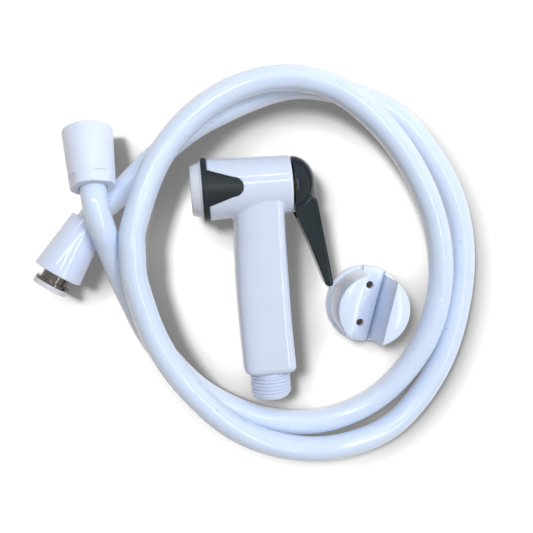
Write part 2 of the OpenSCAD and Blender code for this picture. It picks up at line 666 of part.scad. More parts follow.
module tap_nut() color("whitesmoke") at_tap_mouth() difference() {
    nut(tap_nut_end_r, 1.2);
    for (i = [0 : flats - 1]) rotate([0, 0, 360 * i / flats + 180 + flat_turn])
        translate([flat_r, -nut_mouth_r, -nut_len - 1])
            cube([nut_mouth_r, 2 * nut_mouth_r, flat_len + 1]);
}

module cone_nut() color("white") at_cone_mouth() nut(cone_nut_end_r, 0.5);

/* Wall holder */

// Space between the two shells: it widens upwards and towards its lower end
module slot() {
    far = holder_flange_r + 2;
    up = holder_h + 1 - holder_floor;
    polyhedron(points = [
        [-slot_floor_half, far, holder_floor], [slot_floor_half, far, holder_floor],
        [slot_floor_half, -far, holder_floor], [-slot_floor_half, -far, holder_floor],
        [-slot_narrow_half, far, holder_floor + up], [slot_narrow_half, far, holder_floor + up],
        [slot_wide_half, -far, holder_floor + up], [-slot_wide_half, -far, holder_floor + up]],
        faces = [[3, 2, 1, 0], [4, 5, 6, 7], [0, 1, 5], [0, 5, 4], [1, 2, 6], [1, 6, 5],
            [2, 3, 7], [2, 7, 6], [3, 0, 4], [3, 4, 7]]);
}

module holder_place()
    translate([holder_dx - kit_x, -holder_dy - kit_y, 0]) rotate([0, 0, holder_turn]) children();

module wall_holder() color("white") holder_place() difference() {
    rotate_extrude() polygon([[0, 0], [holder_flange_r, 0],
        [holder_flange_r, holder_flange_t - 0.6], [holder_flange_r - 0.6, holder_flange_t],
        [holder_r, holder_flange_t], [holder_r - 0.4, holder_h - 1],
        [holder_r - 0.7, holder_h - 0.3], [holder_r - 1.4, holder_h], [0, holder_h]]);
    slot();
    for (side = [-1, 1]) {
        translate([side * (slot_floor_half - groove_w / 2) - groove_w / 2, -holder_flange_r - 1,
            holder_floor - groove_d]) cube([groove_w, 2 * holder_flange_r + 2, groove_d + 1]);
        translate([0, side * screw_gap / 2, -1]) cylinder(h = holder_floor + 2, r = screw_r);
        // The shells are cored from the back
        translate([0, 0, -1]) linear_extrude(holder_h - holder_wall + 1) intersection() {
            circle(r = holder_r - 0.8 - holder_wall);
            translate([side > 0 ? slot_wide_half + holder_wall : -holder_r - slot_wide_half - holder_wall, -holder_r])
                square([holder_r, 2 * holder_r]);
        }
    }
}

handset_body();
trim_ring();
front_cap();
spray_plate();
face_washer();
valve_seat();
valve_stem();
valve_disc();
valve_spring();
stem_seal();
gland_nut();
stem_nut();
lever();
lever_pin();
hose();
tap_nut();
tap_insert();
tap_ferrule();
tap_washer();
cone_nut();
cone_insert();
cone_ferrule();
cone_washer();
wall_holder();
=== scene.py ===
# %% [markdown]
# # A handheld bidet shower kit, laid out on a table
# The CAD model gives every solid, its place and how it moves. This script
# dresses that model: it sets the camera and the light, lays the hose, gives
# the moulded pieces their soft edges and gives every surface its finish.

# %% The frame
import bpy
import math
from mathutils import Matrix, Vector


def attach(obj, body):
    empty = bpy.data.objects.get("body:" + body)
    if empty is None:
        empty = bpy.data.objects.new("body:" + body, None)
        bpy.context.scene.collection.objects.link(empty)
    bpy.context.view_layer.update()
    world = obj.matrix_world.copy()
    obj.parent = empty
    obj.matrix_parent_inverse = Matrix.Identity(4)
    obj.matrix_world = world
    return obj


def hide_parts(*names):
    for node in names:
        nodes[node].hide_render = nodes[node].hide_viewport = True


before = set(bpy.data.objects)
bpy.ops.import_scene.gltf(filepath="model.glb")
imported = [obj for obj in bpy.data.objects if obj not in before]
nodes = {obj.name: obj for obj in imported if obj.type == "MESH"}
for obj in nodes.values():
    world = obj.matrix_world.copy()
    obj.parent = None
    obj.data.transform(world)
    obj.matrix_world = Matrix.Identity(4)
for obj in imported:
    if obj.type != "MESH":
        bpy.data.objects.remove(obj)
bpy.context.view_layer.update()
MM = 0.001
print("CAD nodes:", len(nodes))

# %% [markdown]
# ## Camera
# A 50 mm lens on a 36 mm sensor gives the same convergence.

# %% Camera
eye = Vector((-0.04858, 0.05146, 0.390))
aim = Vector((-0.0178, 0.0042, 0.0))
picture_up = Vector((0.0698, 0.9976, 0.0))
lens_mm, sensor_mm = 49.85, 36.0


def look(place, target, upward):
    """A camera matrix at a place, looking at a target, with a given upward edge."""
    back = (place - target).normalized()
    right = upward.cross(back).normalized()
    up = back.cross(right)
    turned = Matrix((right, up, back)).transposed().to_4x4()
    return Matrix.Translation(place) @ turned


cam_data = bpy.data.cameras.new("camera")
cam_data.lens = lens_mm
cam_data.sensor_width = sensor_mm
cam_data.clip_start = 0.01
camera = bpy.data.objects.new("camera", cam_data)
bpy.context.scene.collection.objects.link(camera)
camera.matrix_world = look(eye, aim, picture_up)
bpy.context.scene.camera = camera
print("camera", [round(v, 4) for v in eye])

# %% [markdown]
# ## Ground sheets
# So two flat sheets make the ground. The upper one, the floor, is what the
# camera sees. The lower one, the table, is hidden from the camera and from
# reflections: it only sends warm light up. Each sheet adds a glow to a diffuse
# surface.

# %% Helpers for the ground
def deselect():
    """Nothing stays selected or in edit mode before a new piece is made."""
    if bpy.context.object and bpy.context.object.mode != "OBJECT":
        bpy.ops.object.mode_set(mode="OBJECT")
    bpy.ops.object.select_all(action="DESELECT")


def ground_sheet(name, height):
    deselect()
    bpy.ops.mesh.primitive_plane_add(size=6.0, location=(0.0, 0.0, height))
    sheet = bpy.context.object
    sheet.name = name
    sheet.visible_shadow = False
    mat = bpy.data.materials.new(name + "_tone")
    mat.use_nodes = True
    tree = mat.node_tree
    tree.nodes.clear()
    sheet.data.materials.append(mat)
    out = tree.nodes.new("ShaderNodeOutputMaterial")
    surface = tree.nodes.new("ShaderNodeBsdfDiffuse")
    glow = tree.nodes.new("ShaderNodeEmission")
    both = tree.nodes.new("ShaderNodeAddShader")
    tree.links.new(surface.outputs[0], both.inputs[0])
    tree.links.new(glow.outputs[0], both.inputs[1])
    tree.links.new(both.outputs[0], out.inputs["Surface"])
    print(name, "lies at", height, "m")
    return sheet, tree, surface, glow


def ramp_between(tree, low, high):
    """A colour ramp whose two stops are each a position and a colour."""
    ramp = tree.nodes.new("ShaderNodeValToRGB")
    for stop, (position, tone) in zip(ramp.color_ramp.elements, (low, high)):
        stop.position = position
        stop.color = (tone[0], tone[1], tone[2], 1.0)
    return ramp


def openness(tree, reach, low, high, normal=None):
    """Painted shade: how open a sheet is within a reach, as a tone between two ramp stops."""
    near = tree.nodes.new("ShaderNodeAmbientOcclusion")
    near.samples = 16
    near.inputs["Distance"].default_value = reach
    # a leaned normal throws the painted shade to one side, as a painted shadow
    if normal:
        leaning = tree.nodes.new("ShaderNodeCombineXYZ")
        for socket, value in zip(leaning.inputs, normal):
            socket.default_value = value
        tree.links.new(leaning.outputs[0], near.inputs["Normal"])
    ramp = ramp_between(tree, low, high)
    tree.links.new(near.outputs["AO"], ramp.inputs["Fac"])
    return ramp.outputs["Color"]


# %% [markdown]
# ## Floor sheet
# The floor is white where the sun reaches it. Besides the sun's shadow, it has
# a painted shadow: its colour darkens within 24 mm of things that stand between
# it and the upper left. Its glow turns dim and brown in the last 4 mm under the
# hose, which is painted shade.

# %% Floor sheet
floor, tree, paper, glow = ground_sheet("floor", -0.2 * MM)
floor.visible_diffuse = False
# painted shadow, towards the lower right of things
paper_with_painted_shadow = openness(tree, 24.0 * MM, (0.44, (0.006, 0.006, 0.006)),
                      (0.86, (0.115, 0.115, 0.115)), (-0.62, 0.62, 0.48))
# painted shade, dim and brown close under things
glow_with_painted_shade = openness(tree, 4.0 * MM, (0.22, (0.03, 0.017, 0.01)), (0.55, (0.19, 0.19, 0.19)))
tree.links.new(paper_with_painted_shadow, paper.inputs["Color"])
tree.links.new(glow_with_painted_shade, glow.inputs["Color"])

# %% [markdown]
# ## Table sheet
# The table just under it has the colour of warm wood, and a warm glow.

# %% Table sheet
table, tree, wood, warmth = ground_sheet("table", -0.4 * MM)
table.visible_camera = False
table.visible_glossy = False
wood.inputs["Color"].default_value = (0.72, 0.56, 0.38, 1.0)
warmth.inputs["Color"].default_value = (1.0, 0.74, 0.48, 1.0)
warmth.inputs["Strength"].default_value = 0.45

# %% [markdown]
# ## The shadow's sun
# One sun at the upper left lights only the floor sheet. It is 13 degrees
# wide, so the shadow has a soft edge.

# %% Shadow's sun
def aim_at(obj, place, target):
    """Places a light and turns it to face a target."""
    obj.matrix_world = look(Vector(place), Vector(target), Vector((0.0, 1.0, 0.001)))


middle = (0.0, 0.0, 0.0)
sun_data = bpy.data.lights.new("shadow_sun", "SUN")
sun_data.energy = 25.0
sun_data.angle = math.radians(13.0)
sun = bpy.data.objects.new("shadow_sun", sun_data)
bpy.context.scene.collection.objects.link(sun)
aim_at(sun, (-0.40, 0.40, 1.05), middle)
sunlit = bpy.data.collections.new("sunlit")
sunlit.objects.link(floor)
sun.light_linking.receiver_collection = sunlit

# %% [markdown]
# ## Lamps
# A soft key light at the upper right models the forms, and no reflection shows
# it. The other lamps are thin strips that do show in reflections: they draw
# the fine bright lines along the hose, the head and the handle.

# %% Lamps
def area_light(name, place, target, size, power, tint=(1.0, 1.0, 1.0)):
    """One rectangular light; its size is a width and a height in metres."""
    data = bpy.data.lights.new(name, "AREA")
    data.shape = "RECTANGLE"
    data.size, data.size_y = size
    data.energy = power
    data.color = tint
    light = bpy.data.objects.new(name, data)
    bpy.context.scene.collection.objects.link(light)
    aim_at(light, place, target)
    print(name, power, "W")
    return light


cool = (0.95, 0.98, 1.0)
key = area_light("key", (0.55, 0.42, 1.0), middle, (0.5, 0.5), 5.0)
key.visible_glossy = False
area_light("strip", (0.0, 0.34, 1.0), middle, (0.9, 0.06), 1.8, cool)
area_light("far_strip", (0.0, 0.88, 0.95), middle, (0.9, 0.06), 1.8, cool)
area_light("glint", (0.0, 0.2, 1.0), (0.0, 0.2, 0.0), (0.06, 0.4), 1.0, cool)
area_light("side_strip", (0.38, -0.05, 0.95), middle, (0.06, 0.7), 1.5, cool)

# %% [markdown]
# ## Sky
# The sky is cool and bright towards the upper right, and warm and dim towards
# the lower left, which gives the white plastic its two tints. The camera,
# reflections and clear things see plain white instead.

# %% Sky
world = bpy.data.worlds.new("room")
bpy.context.scene.world = world
world.use_nodes = True
tree = world.node_tree
daylight = tree.nodes["Background"]
daylight.inputs["Strength"].default_value = 0.45
facing = tree.nodes.new("ShaderNodeVectorMath")
facing.operation = "DOT_PRODUCT"
facing.inputs[1].default_value = (0.62, 0.52, 0.59)
coords = tree.nodes.new("ShaderNodeTexCoord")
around = tree.nodes.new("ShaderNodeMapRange")
around.inputs["From Min"].default_value = -1.0
sky = ramp_between(tree, (0.3, (0.40, 0.31, 0.22)), (0.75, (0.94, 0.97, 1.0)))
tree.links.new(coords.outputs["Generated"], facing.inputs[0])
tree.links.new(facing.outputs["Value"], around.inputs["Value"])
tree.links.new(around.outputs["Result"], sky.inputs["Fac"])
tree.links.new(sky.outputs["Color"], daylight.inputs["Color"])
backdrop = tree.nodes.new("ShaderNodeBackground")
backdrop.inputs["Color"].default_value = (1.0, 1.0, 1.0, 1.0)
path = tree.nodes.new("ShaderNodeLightPath")
seen = path.outputs["Is Camera Ray"]
for kind in ("Is Glossy Ray", "Is Transmission Ray"):
    larger = tree.nodes.new("ShaderNodeMath")
    larger.operation = "MAXIMUM"
    tree.links.new(seen, larger.inputs[0])
    tree.links.new(path.outputs[kind], larger.inputs[1])
    seen = larger.outputs[0]
either = tree.nodes.new("ShaderNodeMixShader")
tree.links.new(seen, either.inputs["Fac"])
tree.links.new(daylight.outputs[0], either.inputs[1])
tree.links.new(backdrop.outputs[0], either.inputs[2])
tree.links.new(either.outputs[0], tree.nodes["World Output"].inputs["Surface"])
bpy.context.scene.view_settings.view_transform = "Standard"
print("sky strength", daylight.inputs["Strength"].default_value)

# %% [markdown]
# ## Finishes
# Nearly everything is injection-moulded plastic: a cool glossy white and a
# dark slate grey. Real mouldings are never quite even, so each finish gets a
# faint cloudiness, a fine grain in its gloss and a very shallow waviness in
# its surface. The hose is softer and a little translucent, with a few dust
# specks. The valve is brass, the hose ends are plated, the seals are rubber.

# %% Finishes
def noise(tree, coords, scale, detail):
    """A noise texture over a piece's own coordinates."""
    node = tree.nodes.new("ShaderNodeTexNoise")
    node.inputs["Scale"].default_value = scale
    node.inputs["Detail"].default_value = detail
    tree.links.new(coords.outputs["Object"], node.inputs["Vector"])
    return node


def speckled(tree, coords, colored, scale):
    """Small dark dust specks over a colour, one at most in each cell of a pattern."""
    cells = tree.nodes.new("ShaderNodeTexVoronoi")
    cells.inputs["Scale"].default_value = scale
    tree.links.new(coords.outputs["Object"], cells.inputs["Vector"])
    dot = tree.nodes.new("ShaderNodeMath")
    dot.operation = "LESS_THAN"
    dot.inputs[1].default_value = 0.03
    tree.links.new(cells.outputs["Distance"], dot.inputs[0])
    mix = tree.nodes.new("ShaderNodeMix")
    mix.data_type = "RGBA"
    mix.inputs["B"].default_value = (0.18, 0.2, 0.22, 1.0)
    tree.links.new(dot.outputs[0], mix.inputs["Factor"])
    tree.links.new(colored, mix.inputs["A"])
    return mix.outputs["Result"]


def finish_of(name, color, rough, spread=0.03, bump=0.02, metal=0.0, shine=0.5,
              translucency=0.0, specks=0.0):
    """A procedural finish: an even colour with cloudiness, gloss grain and waviness."""
    wave_scale, grain_scale = 60.0, 900.0
    mat = bpy.data.materials.new(name)
    mat.use_nodes = True
    tree = mat.node_tree
    shader = tree.nodes["Principled BSDF"]
    coords = tree.nodes.new("ShaderNodeTexCoord")
    cloud = noise(tree, coords, wave_scale, 3.0)
    fine = noise(tree, coords, grain_scale, 2.0)
    tone = ramp_between(tree, (0.3, [c * (1.0 - spread) for c in color]), (0.7, color))
    tree.links.new(cloud.outputs["Fac"], tone.inputs["Fac"])
    colored = tone.outputs["Color"]
    if specks:
        colored = speckled(tree, coords, colored, specks)
    tree.links.new(colored, shader.inputs["Base Color"])
    gloss = tree.nodes.new("ShaderNodeMapRange")
    gloss.inputs["To Min"].default_value = rough * 0.8
    gloss.inputs["To Max"].default_value = min(1.0, rough * 1.25)
    tree.links.new(fine.outputs["Fac"], gloss.inputs["Value"])
    tree.links.new(gloss.outputs["Result"], shader.inputs["Roughness"])
    relief = tree.nodes.new("ShaderNodeBump")
    relief.inputs["Strength"].default_value = bump
    relief.inputs["Distance"].default_value = 0.4 * MM
    tree.links.new(cloud.outputs["Fac"], relief.inputs["Height"])
    tree.links.new(relief.outputs["Normal"], shader.inputs["Normal"])
    shader.inputs["Metallic"].default_value = metal
    shader.inputs["Specular IOR Level"].default_value = shine
    if translucency:
        shader.inputs["Subsurface Weight"].default_value = translucency
        shader.inputs["Subsurface Radius"].default_value = (0.7, 0.85, 1.0)
        shader.inputs["Subsurface Scale"].default_value = 3.0 * MM
    return mat


handset_white = finish_of("handset_white", (0.64, 0.71, 0.87), 0.09, bump=0.05)
cap_white = finish_of("cap_white", (0.70, 0.74, 0.84), 0.24)
holder_white = finish_of("holder_white", (0.68, 0.77, 0.95), 0.18, bump=0.04)
nut_satin = finish_of("nut_satin", (0.70, 0.78, 0.95), 0.45, bump=0.06)
nut_gloss = finish_of("nut_gloss", (0.65, 0.74, 0.94), 0.1)
hose_white = finish_of("hose_white", (0.66, 0.765, 0.96), 0.07, bump=0.04,
                       translucency=0.35, specks=95.0)
slate = finish_of("slate", (0.010, 0.017, 0.020), 0.36, 0.2, bump=0.05, shine=0.25)
slate_lever = finish_of("slate_lever", (0.012, 0.021, 0.027), 0.13, 0.2, shine=0.25)
brass = finish_of("brass", (0.62, 0.45, 0.2), 0.3, 0.1, metal=1.0)
steel = finish_of("steel", (0.55, 0.55, 0.57), 0.3, 0.1, metal=1.0)
chrome = finish_of("chrome", (0.72, 0.70, 0.66), 0.12, 0.08, metal=1.0)
# The cone end's insert and ferrule get a darker copy of the chrome: its dark colour paints the
# shade at the nut's mouth.
chrome_with_painted_shade = finish_of("chrome_with_painted_shade", (0.12, 0.11, 0.10), 0.14, 0.2, metal=1.0)
black_rubber = finish_of("black_rubber", (0.02, 0.02, 0.02), 0.6, 0.3)
pale_rubber = finish_of("pale_rubber", (0.62, 0.62, 0.68), 0.5, 0.08)

node_finish = {
    "handset_body": handset_white, "trim_ring": slate, "front_cap": cap_white,
    "spray_plate": cap_white, "face_washer": black_rubber, "valve_seat": cap_white,
    "valve_stem": brass, "valve_disc": black_rubber, "valve_spring": steel,
    "stem_seal": black_rubber, "gland_nut": brass, "stem_nut": brass,
    "lever": slate_lever, "lever_pin": steel, "hose": hose_white, "tap_nut": nut_satin,
    "tap_insert": chrome, "tap_ferrule": chrome, "tap_washer": black_rubber,
    "cone_nut": nut_gloss, "cone_insert": chrome_with_painted_shade, "cone_ferrule": chrome_with_painted_shade,
    "cone_washer": pale_rubber, "wall_holder": holder_white,
}


def paint(obj, mat):
    """Gives a piece one finish all over."""
    obj.data.materials.clear()
    obj.data.materials.append(mat)


for name, mat in node_finish.items():
    paint(nodes[name], mat)
print("finishes on", len(node_finish), "nodes")

# %% [markdown]
# ## Hose
# A 1.2 m PVC hose, 13 mm across, that leaves the slid-back cone nut, goes
# twice round the handset and comes back to the tap nut. It is one spline
# through the same points as the CAD tube, with handles that give the same
# smooth bends, and a round bevel for its thickness.

# %% Hose
hose_r = 6.6 * MM
nut_len, nut_r, cone_end_r = 30.6, 12.5, 9.2
ferrule_back, cone_back = 24.3, 15.7
tap_slope = -20.0


def heading(turn, slope):
    """Unit vector at a heading on the table and a slope above it."""
    t = math.radians(turn)
    s = math.radians(slope)
    return Vector((math.cos(s) * math.cos(t), math.cos(s) * math.sin(t), math.sin(s)))


cone_slope = math.degrees(math.asin((nut_r - cone_end_r) / nut_len))
cone_dir = heading(-125.0, cone_slope)
cone_mouth = Vector((-124.5, 10.5, nut_r * math.cos(math.radians(cone_slope))))
tap_dir = heading(93.3, tap_slope)
tap_mouth = Vector((-103.1, 80.8, nut_r * math.cos(math.radians(tap_slope))))
route = [(-98.4, 42.8, 7.3), (-87, 51.5, 6.6), (-66, 69, 6.6), (-41, 84, 6.6),
         (2, 96.5, 6.6), (42, 86, 6.6), (65, 67, 6.6), (83.5, 32, 6.6), (86.5, -8, 6.6),
         (74, -52, 6.6), (48, -84, 7.6), (18, -94, 11.5), (-12, -91, 16), (-40, -77, 20),
         (-62, -54, 20.6), (-77, -28, 21), (-84.8, 2, 23.4), (-85.2, 18, 25),
         (-82.8, 34, 24), (-68, 65, 21), (-44, 88, 20.6), (-14, 99, 20.3), (16, 95, 20.6),
         (41, 76, 20.6), (60, 49, 18), (71, 18, 15.4), (72, -14, 12.6), (62, -44, 9.6),
         (38, -70, 6.6), (6, -81, 6.6), (-28, -76, 6.6), (-58, -58, 6.6), (-79, -31, 6.6),
         (-90, -4, 9.2), (-96, 18, 15.6), (-98.6, 31, 22.4), (-100.6, 42, 24)]
line = [cone_mouth - s * cone_dir for s in (ferrule_back - cone_back, nut_len)]
line += [Vector(p) for p in route]
line += [tap_mouth - s * tap_dir for s in (nut_len, ferrule_back)]
line = [p * MM for p in line]

hose_curve = bpy.data.curves.new("hose_line", "CURVE")
hose_curve.dimensions = "3D"
hose_curve.resolution_u = 10
hose_curve.bevel_depth = hose_r
hose_curve.bevel_resolution = 7
hose_curve.use_fill_caps = True
spline = hose_curve.splines.new("BEZIER")
spline.bezier_points.add(len(line) - 1)
for i, p in enumerate(line):
    before = line[max(0, i - 1)]
    after = line[min(len(line) - 1, i + 1)]
    point = spline.bezier_points[i]
    point.co = p
    point.handle_left = p - (after - before) / 6.0
    point.handle_right = p + (after - before) / 6.0
hose = bpy.data.objects.new("hose_tube", hose_curve)
bpy.context.scene.collection.objects.link(hose)
paint(hose, hose_white)
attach(hose, "kit")
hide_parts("hose")
print("hose points", len(line))

# %% [markdown]
# ## Helpers for moulded pieces
# Every moulded piece is made in millimetres, in the frame of the thing that
# it belongs to: the handset's own frame has its X along the head. A last
# step, settle, carries it to its place on the table in metres, and leaves its
# object at the origin, as the CAD nodes are. Every cut or join is a boolean
# with a tool that is made for it and then removed.

# %% Helpers for moulded pieces
kit_shift = Vector((-45.9, 47.1198, 16.0))
lie_tilt = math.radians(2.16612)
handset_place = Matrix.Translation(kit_shift * MM) @ Matrix.Rotation(lie_tilt, 4, "X")
holder_place = (Matrix.Translation(Vector((33.5, -19.6802, 0.0)) * MM)
                @ Matrix.Rotation(math.radians(-18.0), 4, "Z"))


def nut_place(mouth, direction):
    """The frame of a hose nut: its mouth is at the origin and opens along +Z."""
    side = Vector((0.0, 0.0, 1.0)).cross(direction).normalized()
    over = direction.cross(side)
    turned = Matrix((over, side, direction)).transposed().to_4x4()
    return Matrix.Translation(mouth * MM) @ turned


def active(obj):
    """Makes one piece the only selected one."""
    deselect()
    obj.select_set(True)
    bpy.context.view_layer.objects.active = obj
    return obj


def applied(obj, kind, **settings):
    """Adds one modifier with its settings, and applies it at once."""
    active(obj)
    mod = obj.modifiers.new(kind.lower(), kind)
    for key, value in settings.items():
        setattr(mod, key, value)
    bpy.ops.object.modifier_apply(modifier=mod.name)
    return obj


def tidy_mesh(obj, gap=0.001):
    """Closes the seams and turns every face outwards."""
    active(obj)
    bpy.ops.object.mode_set(mode="EDIT")
    bpy.ops.mesh.select_all(action="SELECT")
    bpy.ops.mesh.remove_doubles(threshold=gap)
    bpy.ops.mesh.normals_make_consistent(inside=False)
    bpy.ops.object.mode_set(mode="OBJECT")
    return obj


def spun(name, outline, steps=128):
    """A turned piece: the closed outline of (radius, height) points, spun about Z."""
    deselect()
    bpy.ops.mesh.primitive_circle_add(vertices=len(outline), radius=1.0, fill_type="NOTHING")
    obj = bpy.context.object
    obj.name = name
    for vert, (r, h) in zip(obj.data.vertices, outline):
        vert.co = (r, 0.0, h)
    bpy.ops.object.mode_set(mode="EDIT")
    bpy.ops.mesh.select_all(action="SELECT")
    bpy.ops.mesh.spin(steps=steps, angle=2.0 * math.pi, center=(0.0, 0.0, 0.0),
                      axis=(0.0, 0.0, 1.0))
    bpy.ops.object.mode_set(mode="OBJECT")
    return tidy_mesh(obj)


def drilled(obj, tool, kind="DIFFERENCE"):
    """Cuts one solid with another, or joins them, and removes the tool."""
    active(obj)
    mod = obj.modifiers.new("cut", "BOOLEAN")
    mod.object = tool
    mod.operation = kind
    mod.solver = "EXACT"
    bpy.ops.object.modifier_apply(modifier=mod.name)
    bpy.data.objects.remove(tool)
    return obj


def turn(obj, angle, axis):
    """Turns a piece about an axis through the origin, in its mesh."""
    obj.data.transform(Matrix.Rotation(math.radians(angle), 4, axis))
    return obj


def along_x(obj):
    """Lays a turned piece's axis along +X."""
    return turn(obj, 90.0, "Y")


def rounded(obj, width, segments=3, angle=30.0):
    """Rounds every edge sharper than an angle, as a mould does."""
    return applied(obj, "BEVEL", width=width, segments=segments, limit_method="ANGLE",
                   angle_limit=math.radians(angle), use_clamp_overlap=True)


def extruded(name, outline, start, rise):
    """A block whose outline lies in XY at one height, drawn up or down from there."""
    deselect()
    bpy.ops.mesh.primitive_circle_add(vertices=len(outline), radius=1.0, fill_type="NGON")
    obj = bpy.context.object
    obj.name = name
    for vert, (x, y) in zip(obj.data.vertices, outline):
        vert.co = (x, y, start)
    bpy.ops.object.mode_set(mode="EDIT")
    bpy.ops.mesh.select_all(action="SELECT")
    bpy.ops.mesh.extrude_region_move(TRANSFORM_OT_translate={"value": (0.0, 0.0, rise)})
    bpy.ops.object.mode_set(mode="OBJECT")
    return tidy_mesh(obj)


def in_mesh(obj):
    """Moves a new piece's place and size from its object into its mesh."""
    bpy.ops.object.transform_apply(location=True, rotation=True, scale=True)
    return obj


def box(place, size):
    """A plain block, for cutting or joining."""
    deselect()
    bpy.ops.mesh.primitive_cube_add(size=1.0, location=place, scale=size)
    return in_mesh(bpy.context.object)


def rod(place, r, length, sides=48, lean=0.0):
    """A plain cylinder along Z, or leaned about X, for cutting or joining."""
    deselect()
    bpy.ops.mesh.primitive_cylinder_add(vertices=sides, radius=r, depth=length, location=place,
                                        rotation=(math.radians(lean), 0.0, 0.0))
    return in_mesh(bpy.context.object)


def settle(obj, place, body, node, mat, sharp=40.0):
    """Carries a finished piece to its place in metres, and hides the CAD node that it stands
    for.
    """
    active(obj)
    obj.data.transform(place @ Matrix.Scale(MM, 4))
    obj.matrix_world = Matrix.Identity(4)
    bpy.ops.object.shade_smooth_by_angle(angle=math.radians(sharp))
    paint(obj, mat)
    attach(obj, body)
    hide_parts(node)
    print(obj.name, len(obj.data.polygons), "faces")
    return obj


print("the handset lies at", [round(v, 1) for v in kit_shift], "mm")


# %% [markdown]
# ## Hose nuts
# Both nuts are tapered sleeves with a threaded mouth. The tap nut is satin,
# with a softly rolled rim and four spanner flats at its narrow end. The cone
# nut is polished and plain. A turned piece is one outline spun about its axis.
# The flats are cut by four slabs with rounded edges, and a small bevel stands
# for the mould's rounded edges.

# %% Hose nuts
thread_pitch = 1.814


def thread(r, depth, start, end):
    """Points of an inside thread's grooves, from the mouth inwards."""
    points = []
    h = start
    while h - thread_pitch > end:
        points += [(r, h), (r, h - 0.35 * thread_pitch), (r + depth, h - 0.55 * thread_pitch),
                   (r + depth, h - 0.75 * thread_pitch)]
        h -= thread_pitch
    return points + [(r, end)]


def nut_outline(end_r, rim):
    """Outline of a nut, from its hose end round the outside to its mouth."""
    bore_r, seat = 7.0, -11.3
    roll = [(nut_r - rim * (1.0 - math.cos(math.radians(a))),
             -rim * (1.0 - math.sin(math.radians(a)))) for a in range(0, 91, 15)]
    return ([(bore_r, -nut_len), (end_r - 0.5, -nut_len), (end_r - 0.12, 0.15 - nut_len),
             (end_r, 0.5 - nut_len)]
            + roll + [(10.12, 0.0)] + thread(9.32, 0.8, -0.8, -6.6)
            + [(9.72, -6.7), (9.72, seat), (bore_r, seat)])


tap_nut = spun("tap_nut_shell", nut_outline(11.05, 1.4))
for i in range(4):
    slab = rounded(box((15.3, 0.0, -29.8), (10.0, 30.0, 10.0)), 0.6)
    drilled(tap_nut, turn(slab, 90.0 * i + 57.0, "Z"))
rounded(tidy_mesh(tap_nut), 0.22, 2, 25.0)
settle(tap_nut, nut_place(tap_mouth, tap_dir), "tap_nut_body", "tap_nut", nut_satin)

cone_nut = spun("cone_nut_shell", nut_outline(cone_end_r, 0.7))
settle(cone_nut, nut_place(cone_mouth, cone_dir), "cone_nut_body", "cone_nut", nut_gloss)

# %% [markdown]
# ## Trim ring and tongues
# The dark ring sits between the cap and the casing, and two tongues of the
# same moulding run back along the sides in shallow pockets. The ring is spun.
# A tongue is its outline seen from the side, drawn out into a tall block, of
# which only what lies between two radii about the head's axis is kept.

# %% Trim ring and tongues
ring_w, ring_r, ring_bore = 2.7, 16.0, 11.3
head_len, head_front_r, head_rear_r = 41.8, 15.4, 14.85


def head_radius(x):
    """Radius of the casing at a distance behind the trim ring."""
    return head_front_r + (head_rear_r - head_front_r) * x / head_len


def tongue_sides(grow):
    """Outline of a tongue seen from the side, as (x, y) points in order."""
    tip_x, tip_r, rise = 17.3 - 4.6, 4.6, 1.3
    root = 17.6 / 2.0
    points = [(-ring_w / 2.0, rise - root - grow), (0.0, rise - root - grow)]
    points += [(tip_x + (tip_r + grow) * math.cos(math.radians(a)),
                rise + (tip_r + grow) * math.sin(math.radians(a)))
               for a in range(-90, 91, 10)]
    return points + [(0.0, rise + root + grow), (-ring_w / 2.0, rise + root + grow)]


def tongue_block(name, grow, inner, outer, side):
    """A tongue or its pocket: the outline as a tall block, kept between two radii."""
    block = extruded(name, tongue_sides(grow), 0.0, 20.0 * side)
    front, rear = -3.0, 20.0
    shell = along_x(spun("shell", [
        (head_radius(front) + inner, front), (head_radius(front) + outer, front),
        (head_radius(rear) + outer, rear), (head_radius(rear) + inner, rear)]))
    return drilled(block, shell, "INTERSECT")


trim = along_x(spun("trim_moulding", [
    (ring_bore, 0.0), (ring_bore, -ring_w), (ring_r - 0.5, -ring_w),
    (ring_r - 0.15, -ring_w + 0.12), (ring_r, -ring_w + 0.5), (ring_r, -0.5),
    (ring_r - 0.15, -0.12), (ring_r - 0.5, 0.0)]))
for side in (1.0, -1.0):
    tongue = tongue_block("tongue", 0.0, -1.1, 0.3, side)
    drilled(trim, rounded(tongue, 0.28), "UNION")
tidy_mesh(trim)
settle(trim, handset_place, "kit", "trim_ring", slate, 35.0)

# %% [markdown]
# ## Front cap
# The cap is one outline spun about the head's axis: a step behind the trim
# ring, a cone, and a small raised rim round the spray plate.

# %% Front cap
cap_front = -ring_w - 5.7
cap_r = 14.7

cap = along_x(spun("cap_moulding", [
    (ring_bore, -ring_w), (cap_r - 0.15, -ring_w), (cap_r, -ring_w - 0.2),
    (cap_r, -ring_w - 0.8), (14.5, -ring_w - 1.0), (14.1, -ring_w - 1.1),
    (12.6, cap_front + 0.62), (12.3, cap_front + 0.2), (11.8, cap_front),
    (9.75, cap_front), (9.6, cap_front + 0.15), (9.6, cap_front + 1.0),
    (ring_bore, cap_front + 1.0)]))
settle(cap, handset_place, "kit", "front_cap", cap_white, 35.0)

# %% [markdown]
# ## Handle
# The handle's section goes from a round nose at the head to a boxy foot. It
# grows ring by ring from a circle: each ring is extruded and then eased to its
# section, which is a round-cornered box with two rates of corner, fuller at
# the back than at the nose.

# %% Handle
handle_drop, handle_edge = 96.0, 3.4


